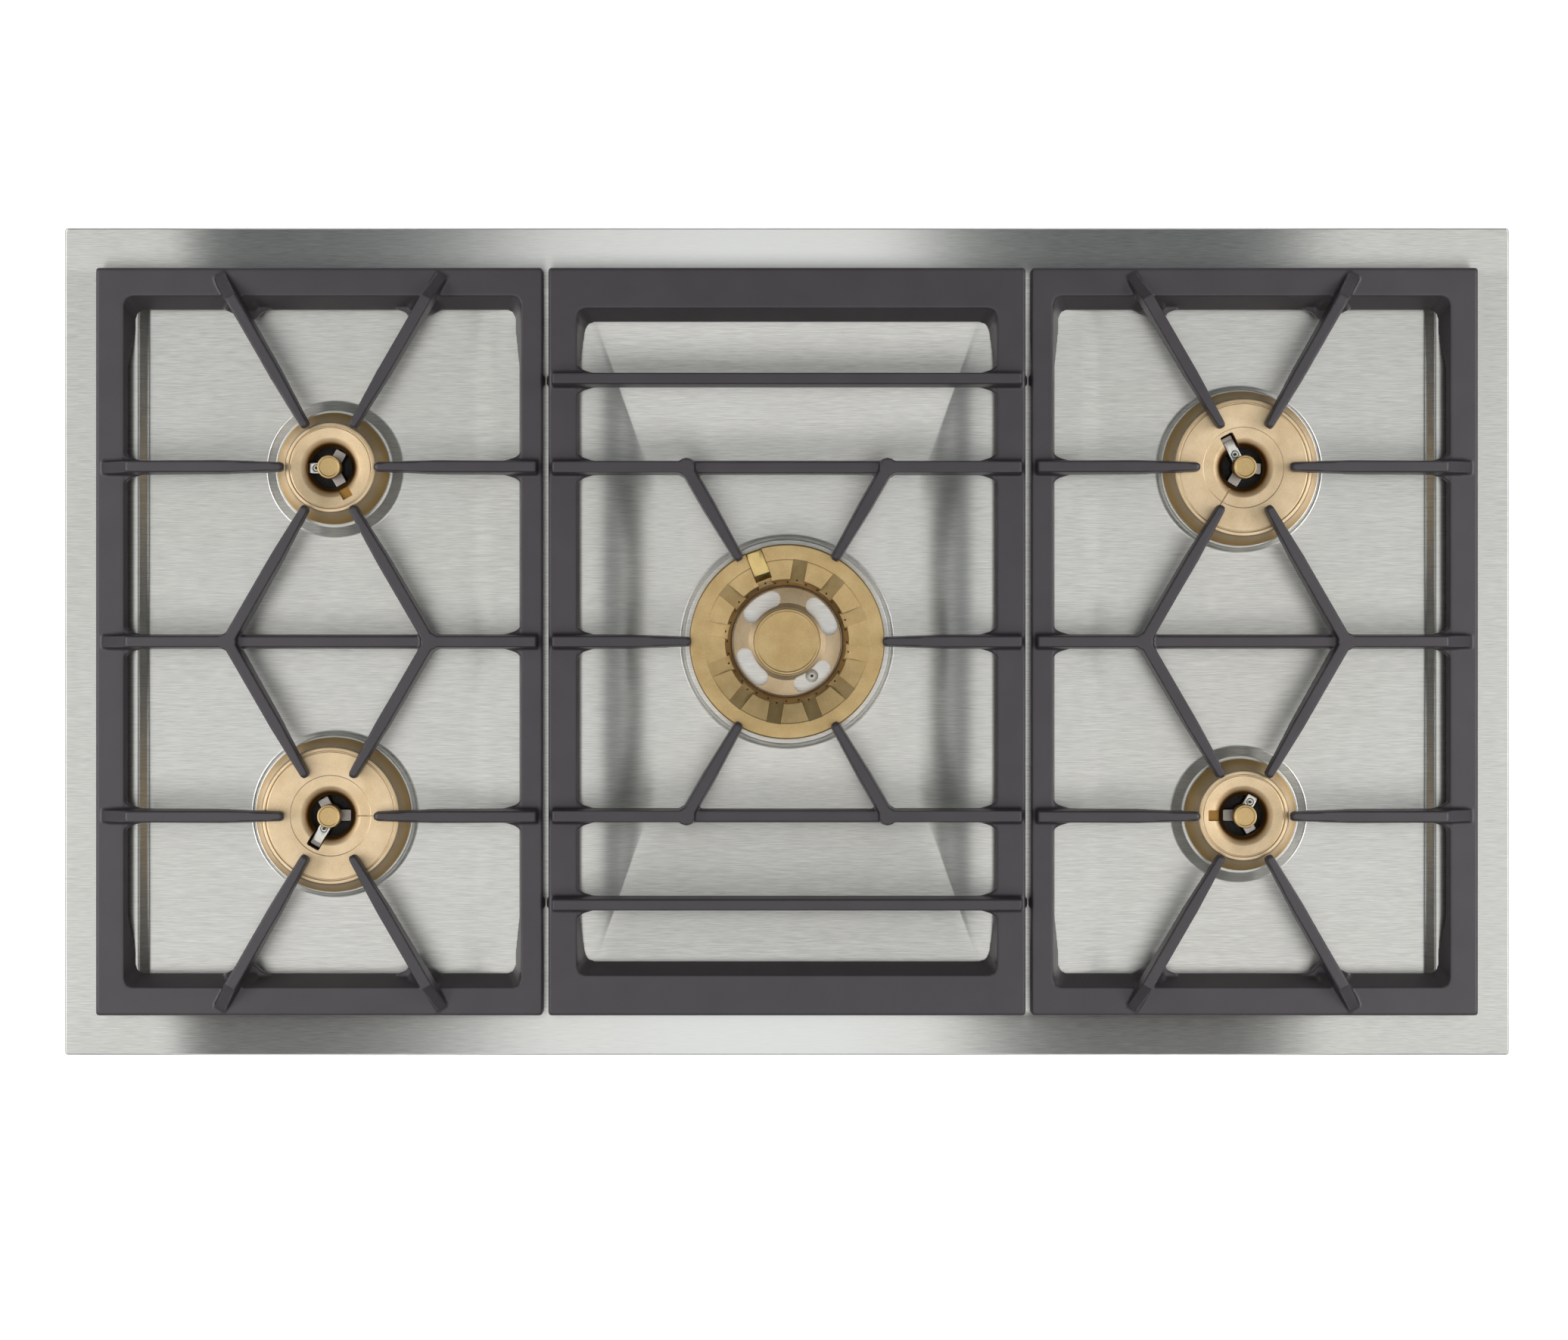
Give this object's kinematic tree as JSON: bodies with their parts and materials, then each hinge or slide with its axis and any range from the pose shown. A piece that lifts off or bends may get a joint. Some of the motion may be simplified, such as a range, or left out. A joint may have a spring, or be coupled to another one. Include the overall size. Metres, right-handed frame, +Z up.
{
  "type": "gas cooktop",
  "caption": "Built-in gas cooktop: steel plate with wells, brass burners under lift-off cast pan supports, and the casing with valves, pipes and ignition below.",
  "frame": {"origin": "centre of the casing's underside, on the surface that the cooktop stands on when it is out of its worktop", "axes": "+X along the length to the user's right, +Y to the back, +Z up"},
  "size_m": [0.908, 0.52, 0.135],
  "materials": {
    "plate_steel": "brushed along the length, fine grain",
    "casing_steel": "plain zinc-coated sheet",
    "cast_iron": "matt enamel on cast iron, dark grey",
    "brass": "sand-blasted solid brass",
    "bright_brass": "polished brass",
    "dark_iron": "dark heat-stained iron with ground spoke tops",
    "aluminium": "die-cast, plain",
    "ceramic": "glazed white insulator",
    "box_plastic": "flame-retardant moulding",
    "seal_rubber": "soft foam strip"
  },
  "bodies": {
    "chassis": {"top_plate": "plate_steel", "rim_seal": "seal_rubber", "bottom_pan": "casing_steel", "front_left_clamp": "casing_steel", "front_right_clamp": "casing_steel", "back_left_clamp": "casing_steel", "back_right_clamp": "casing_steel", "back_left_burner_cup": "aluminium", "back_left_flame_spreader": "dark_iron", "back_left_electrode": "ceramic", "back_left_jet": "brass", "front_left_burner_cup": "aluminium", "front_left_flame_spreader": "dark_iron", "front_left_electrode": "ceramic", "front_left_jet": "brass", "back_right_burner_cup": "aluminium", "back_right_flame_spreader": "dark_iron", "back_right_electrode": "ceramic", "back_right_jet": "brass", "front_right_burner_cup": "aluminium", "front_right_flame_spreader": "dark_iron", "front_right_electrode": "ceramic", "front_right_jet": "brass", "wok_burner_cup": "aluminium", "wok_electrode": "ceramic", "wok_inner_jet": "brass", "wok_outer_jet": "brass", "gas_rail": "casing_steel", "gas_inlet": "casing_steel", "control_box": "box_plastic", "ignition_box": "box_plastic", "power_inlet": "box_plastic", "front_left_valve": "aluminium", "front_left_gas_pipe": "aluminium", "back_left_valve": "aluminium", "back_left_gas_pipe": "aluminium", "wok_outer_valve": "aluminium", "wok_outer_gas_pipe": "aluminium", "wok_inner_valve": "aluminium", "wok_inner_gas_pipe": "aluminium", "back_right_valve": "aluminium", "back_right_gas_pipe": "aluminium", "front_right_valve": "aluminium", "front_right_gas_pipe": "aluminium"},
    "left_support": {"left_pan_support": "cast_iron"},
    "centre_support": {"centre_pan_support": "cast_iron"},
    "right_support": {"right_pan_support": "cast_iron"},
    "back_left_lid": {"back_left_burner_lid": "brass"},
    "back_left_cap": {"back_left_burner_cap": "brass"},
    "front_left_lid": {"front_left_burner_lid": "brass"},
    "front_left_cap": {"front_left_burner_cap": "brass"},
    "back_right_lid": {"back_right_burner_lid": "brass"},
    "back_right_cap": {"back_right_burner_cap": "brass"},
    "front_right_lid": {"front_right_burner_lid": "brass"},
    "front_right_cap": {"front_right_burner_cap": "brass"},
    "wok_ring": {"wok_outer_ring": "brass", "wok_ring_clip": "bright_brass"},
    "wok_inner": {"wok_inner_ring": "brass"},
    "wok_cap": {"wok_burner_cap": "brass"}
  },
  "joints": [
    {"name": "left_support_lift", "type": "slide", "parent": "chassis", "child": "left_support", "axis": [0, 0, 1], "range_m": [0, 0.12]},
    {"name": "centre_support_lift", "type": "slide", "parent": "chassis", "child": "centre_support", "axis": [0, 0, 1], "range_m": [0, 0.12]},
    {"name": "right_support_lift", "type": "slide", "parent": "chassis", "child": "right_support", "axis": [0, 0, 1], "range_m": [0, 0.12]},
    {"name": "back_left_lid_lift", "type": "slide", "parent": "chassis", "child": "back_left_lid", "axis": [0, 0, 1], "range_m": [0, 0.002]},
    {"name": "back_left_cap_lift", "type": "slide", "parent": "chassis", "child": "back_left_cap", "axis": [0, 0, 1], "range_m": [0, 0.06]},
    {"name": "front_left_lid_lift", "type": "slide", "parent": "chassis", "child": "front_left_lid", "axis": [0, 0, 1], "range_m": [0, 0.002]},
    {"name": "front_left_cap_lift", "type": "slide", "parent": "chassis", "child": "front_left_cap", "axis": [0, 0, 1], "range_m": [0, 0.06]},
    {"name": "back_right_lid_lift", "type": "slide", "parent": "chassis", "child": "back_right_lid", "axis": [0, 0, 1], "range_m": [0, 0.002]},
    {"name": "back_right_cap_lift", "type": "slide", "parent": "chassis", "child": "back_right_cap", "axis": [0, 0, 1], "range_m": [0, 0.06]},
    {"name": "front_right_lid_lift", "type": "slide", "parent": "chassis", "child": "front_right_lid", "axis": [0, 0, 1], "range_m": [0, 0.002]},
    {"name": "front_right_cap_lift", "type": "slide", "parent": "chassis", "child": "front_right_cap", "axis": [0, 0, 1], "range_m": [0, 0.06]},
    {"name": "wok_ring_lift", "type": "slide", "parent": "chassis", "child": "wok_ring", "axis": [0, 0, 1], "range_m": [0, 0.002]},
    {"name": "wok_inner_lift", "type": "slide", "parent": "chassis", "child": "wok_inner", "axis": [0, 0, 1], "range_m": [0, 0.06]},
    {"name": "wok_cap_lift", "type": "slide", "parent": "wok_inner", "child": "wok_cap", "axis": [0, 0, 1], "range_m": [0, 0.03]}
  ]
}
